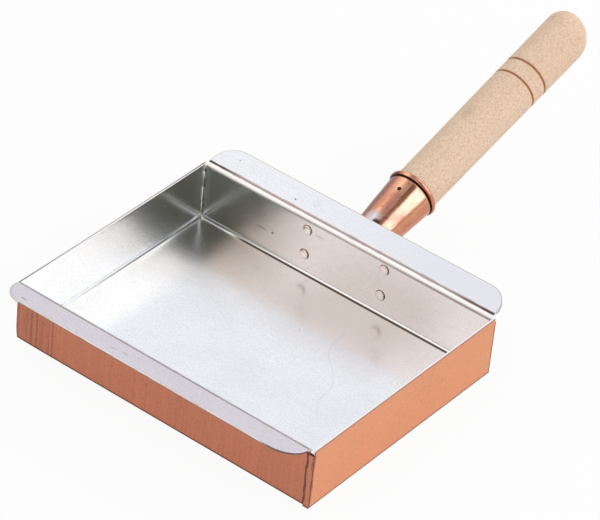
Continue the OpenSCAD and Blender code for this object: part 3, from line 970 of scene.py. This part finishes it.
def pale_wood():
    """Bare beech-like wood: pale, with short fine flecks along the grain, a few grey smudges from
    handling and brown burnt rings."""
    make = Finish("pale_wood")
    lined_up = make("ShaderNodeVectorRotate", {"rotation_type": "X_AXIS"}, Vector=make.place,
                    Center=tuple(handle_foot), Angle=-handle_rise).outputs[0]
    x, y, z = make.xyz(lined_up)
    along = make.less(y, wall_y)
    flecks = make.noise((1800, 700, 1800), detail=3, roughness=0.7, place=lined_up)
    fibres = make.noise((420, 60, 420), detail=4, place=lined_up)
    years = make.noise((70, 5, 40), detail=2, place=lined_up)
    smudge = make.noise((60, 38, 60), detail=3, shift=(2, 6, 3), place=lined_up)
    colour = make.mix(make.ramp(years, 0.35, 0.7), (0.87, 0.665, 0.50), (0.83, 0.615, 0.455))
    colour = make.tint(colour, (make.ramp(fibres, 0.45, 0.75, 0.0, 0.22), (0.66, 0.48, 0.34)),
                       (make.ramp(flecks, 0.44, 0.64, 0.0, 0.80), (0.64, 0.41, 0.26)),
                       (make.ramp(smudge, 0.62, 0.8, 0.0, 0.20), (0.42, 0.31, 0.24)))
    on_top = make.ramp(z, handle_z, handle_z + 3 * MM)
    for spot_along, spot_x, radius, strength in wood_spots:
        spot = make.apart(make.times(make.less(along, spot_along * MM), 0.6), 0.0, x, spot_x * MM)
        spot = make.times(make.near(spot, radius, 0.2 * radius, strength), on_top)
        colour = make.mix(spot, colour, (0.42, 0.26, 0.17))
    wander = make.times(make.less(make.noise((150, 150, 150)), 0.5), 0.5 * MM)
    for ring in rings_along:
        off = make.off(make.plus(along, wander), ring)
        colour = make.tint(colour, (make.near(off, 1.4, 0.6, 0.30), (0.60, 0.36, 0.20)),
                           (make.near(off, 0.95, 0.50, 0.90), (0.42, 0.165, 0.07)))
    height = make.plus(make.times(flecks, 0.6), make.times(fibres, 0.5))
    roughness = make.ramp(fibres, 0.3, 0.7, 0.62, 0.74)
    return make.surface(colour, roughness, height, 0.05 * MM, metallic=0.0, Specular_IOR_Level=0.3)


def turned_handle():
    """The stick on its axis, from the tenon to the tip."""
    stops = [tenon_start + (socket_len - tenon_start) * step / 8 for step in range(9)]
    stops += [socket_len + 0.05 * MM + step * 3 * MM for step in range(1, 47)]
    for ring in rings_along:
        stops += [ring + ring_w * (step / 16 - 0.5) for step in range(17)]
    end = handle_len - grip_r
    stops = [stop for stop in stops if stop < end]
    stops += [end + grip_r * math.sin(math.radians(angle)) for angle in range(0, 90, 3)]
    stops.sort()
    bm = bmesh.new()
    rows = []
    for angle in full_turn(around):
        row = []
        for along in stops:
            out = 1 - lathe_waver * (1 + noise.noise(on_handle(along, grip_r, angle) * 40))
            radius = grip_radius(along) * out
            leaning = tip_lean * min(max((along - end + grip_r) / grip_r, 0), 1)
            skew = leaning * (radius * math.sin(angle) + 0.1 * grip_r)
            row.append(on_handle(along - skew, radius, angle))
        rows.append(row + [handle_foot + handle_axis * (handle_len * 0.9998 - 0.1 * tip_lean * grip_r)])
    for row in rows:
        row.insert(0, handle_foot + handle_axis * tenon_start)
    add_grid(bm, rows)
    weld(bm)
    return to_object(bm, "grip")


grip = turned_handle()
paint(grip, pale_wood())
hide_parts("wooden_handle")
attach(grip, "root")


# One iron nail through the top of the socket holds the wood. Its round end was filed off level
# and has gone black.
nail_len = 14 * MM
nail_sink = 0.4 * MM


def black_iron():
    """Black scaled iron."""
    make = Finish("black_iron")
    scale = make.noise((1200, 1200, 1200), detail=3)
    colour = make.mix(make.ramp(scale, 0.4, 0.7), (0.022, 0.018, 0.018), (0.05, 0.038, 0.034))
    return make.surface(colour, make.ramp(scale, 0.3, 0.7, 0.45, 0.7), scale, 0.05 * MM, metallic=0.8)


def make_nail():
    """The nail, with a low crown on its filed end."""
    bottom = -nail_len / nail_r
    outline = ((0.0, 0.0), (0.5, 0.0), (0.8, -0.05), (0.97, -0.2), (0.97, bottom), (0.0, bottom))
    top = on_handle(nail_along, cone_r(nail_along) - nail_sink, 0)
    side = Vector((1, 0, 0))
    bm = bmesh.new()
    rows = []
    for angle in full_turn(24):
        across_nail = side * math.cos(angle) + handle_axis * math.sin(angle)
        rows.append([top + across_nail * radius * nail_r + handle_top * height * nail_r
                     for radius, height in outline])
    add_grid(bm, rows)
    weld(bm)
    return to_object(bm, "nail")


nail = make_nail()
paint(nail, black_iron())
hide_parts("handle_nail")
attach(nail, "root")


# The table is a plain pale board. The camera and the shine on metal see it close to white, and it
# still takes the pan's soft shadow.
def rays(make):
    """Whether the camera looks at a spot, and whether something shiny does."""
    path = make("ShaderNodeLightPath").outputs
    return path["Is Camera Ray"], make.most(path["Is Glossy Ray"], path["Is Transmission Ray"])


def blend(make, share, first, second):
    """Blends two shaders; share 0 is the first one."""
    return make("ShaderNodeMixShader", i0=share, i1=first.outputs[0], i2=second.outputs[0])


def pale_table():
    """White paint whose brightness is lifted where the camera or a shiny surface looks at it."""
    make = Finish("pale_table")
    tooth = make.noise((220, 220, 220), detail=2)
    colour = make.mix(make.ramp(tooth, 0.3, 0.7), (0.84, 0.84, 0.84), (0.86, 0.86, 0.86))
    on_camera, shiny = rays(make)
    share = make.plus(make.times(on_camera, 0.93), make.times(shiny, 0.60))
    paint = make("ShaderNodeBsdfDiffuse", Color=colour)
    glow = make("ShaderNodeEmission", Color=(1, 1, 1), Strength=1.0)
    make("ShaderNodeOutputMaterial", Surface=blend(make, share, paint, glow).outputs[0])
    return make.material


bm = bmesh.new()
table_steps = [step - 4.0 for step in range(9)]
add_grid(bm, [[(x, y, 0) for x in table_steps] for y in table_steps])
table = to_object(bm, "table")
paint(table, pale_table())


# The studio is an even pale room, with cards that only shiny metal sees. Most are white. One high on
# the right is bright and bluish, two more are greyer, and the photographer's side and a patch
# overhead are dark. One lamp, the window, gives the soft shadow.
room = bpy.data.worlds.new("studio")
bpy.context.scene.world = room
room.use_nodes = True
room.node_tree.nodes.clear()
AMBIENT = 0.78
ROOM = (1.02, 1.05, 1.11)
CARDS = (
    # towards x, y, z; cosine where the card starts and is full; its colour
    ((-0.46, 0.86, 0.23), 0.93, 0.975, (0.80, 0.76, 0.84)),
    ((-0.46, -0.66, 0.60), 0.86, 0.95, (1.25, 1.16, 1.12)),
    ((-0.46, -0.10, 0.88), 0.93, 0.975, (1.40, 1.39, 1.37)),
    ((-0.46, -0.89, 0.06), 0.90, 0.96, (1.30, 1.28, 1.25)),
    ((0.46, -0.66, 0.60), 0.87, 0.945, (0.112, 0.138, 0.100)),
    ((0.46, 0.66, 0.60), 0.80, 0.93, (1.50, 1.49, 1.43)),
    ((0.74, 0.66, 0.10), 0.90, 0.96, (1.30, 1.29, 1.26)),
    ((0.96, 0.28, 0.00), 0.93, 0.97, (0.70, 0.64, 0.60)),
    ((0.80, 0.17, 0.57), 0.90, 0.925, (2.10, 2.45, 3.10)),
    ((0.28, 0.05, 0.96), 0.972, 0.99, (0.22, 0.17, 0.16)),
)


class Room(Finish):
    """The world's nodes, made with the same calls as a finish."""

    def __init__(self, world):
        self.tree = world.node_tree
        self.place = self("ShaderNodeTexCoord").outputs["Generated"]


make = Room(room)
seen = ROOM
for towards, start, full, card_colour in CARDS:
    turned = make("ShaderNodeVectorMath", {"operation": "DOT_PRODUCT"}, i0=make.place,
                  i1=tuple(Vector(towards).normalized()))
    seen = make.mix(make.ramp(turned.outputs["Value"], start, full), seen, card_colour)
on_camera, shiny = rays(make)
even = make("ShaderNodeBackground", Color=(1, 1, 1), Strength=AMBIENT)
studio = make("ShaderNodeBackground", Color=seen, Strength=1.0)
white = make("ShaderNodeBackground", Color=(1, 1, 1), Strength=1.0)
shown = blend(make, on_camera, blend(make, shiny, even, studio), white)
make("ShaderNodeOutputWorld", Surface=shown.outputs[0])


def softbox(name, place, size, strength):
    """A square lamp that looks at the pan and isn't mirrored in it. Strength is its brightness seen
    from in front."""
    lamp = bpy.data.lights.new(name, "AREA")
    lamp.shape = "SQUARE"
    lamp.size = size
    lamp.energy = strength * math.pi * size * size
    holder = bpy.data.objects.new(name, lamp)
    holder.location = place
    holder.rotation_euler = (Vector((0, 0.05, 0.02)) - Vector(place)).to_track_quat("-Z", "Y").to_euler()
    holder.visible_glossy = False
    bpy.context.scene.collection.objects.link(holder)


softbox("window", (0.95, 0.95, 1.15), 0.8, 3.8)


# The camera stands in front of the pan on its right, well above it and far back, and is tilted a
# little to the side.
azimuth = math.radians(34.939)
elevation = math.radians(36.710)
roll = math.radians(6.090)
distance = 2051.9 * MM
aim_right = 24.831 * MM
aim_up = 49.675 * MM
back = Vector((math.sin(azimuth) * math.cos(elevation), -math.cos(azimuth) * math.cos(elevation),
               math.sin(elevation)))
level_right = Vector((0, 0, 1)).cross(back).normalized()
level_up = back.cross(level_right)
right_way = level_right * math.cos(roll) + level_up * math.sin(roll)
up_way = level_up * math.cos(roll) - level_right * math.sin(roll)
stand = back * distance + right_way * aim_right + up_way * aim_up
view = bpy.data.cameras.new("camera")
view.lens = 237.0
view.sensor_width = 36
camera = bpy.data.objects.new("camera", view)
turn = Matrix((right_way, up_way, back)).transposed().to_4x4()
camera.matrix_world = Matrix.Translation(stand) @ turn
bpy.context.scene.collection.objects.link(camera)
bpy.context.scene.camera = camera
bpy.context.scene.view_settings.view_transform = "Standard"

bpy.context.view_layer.update()
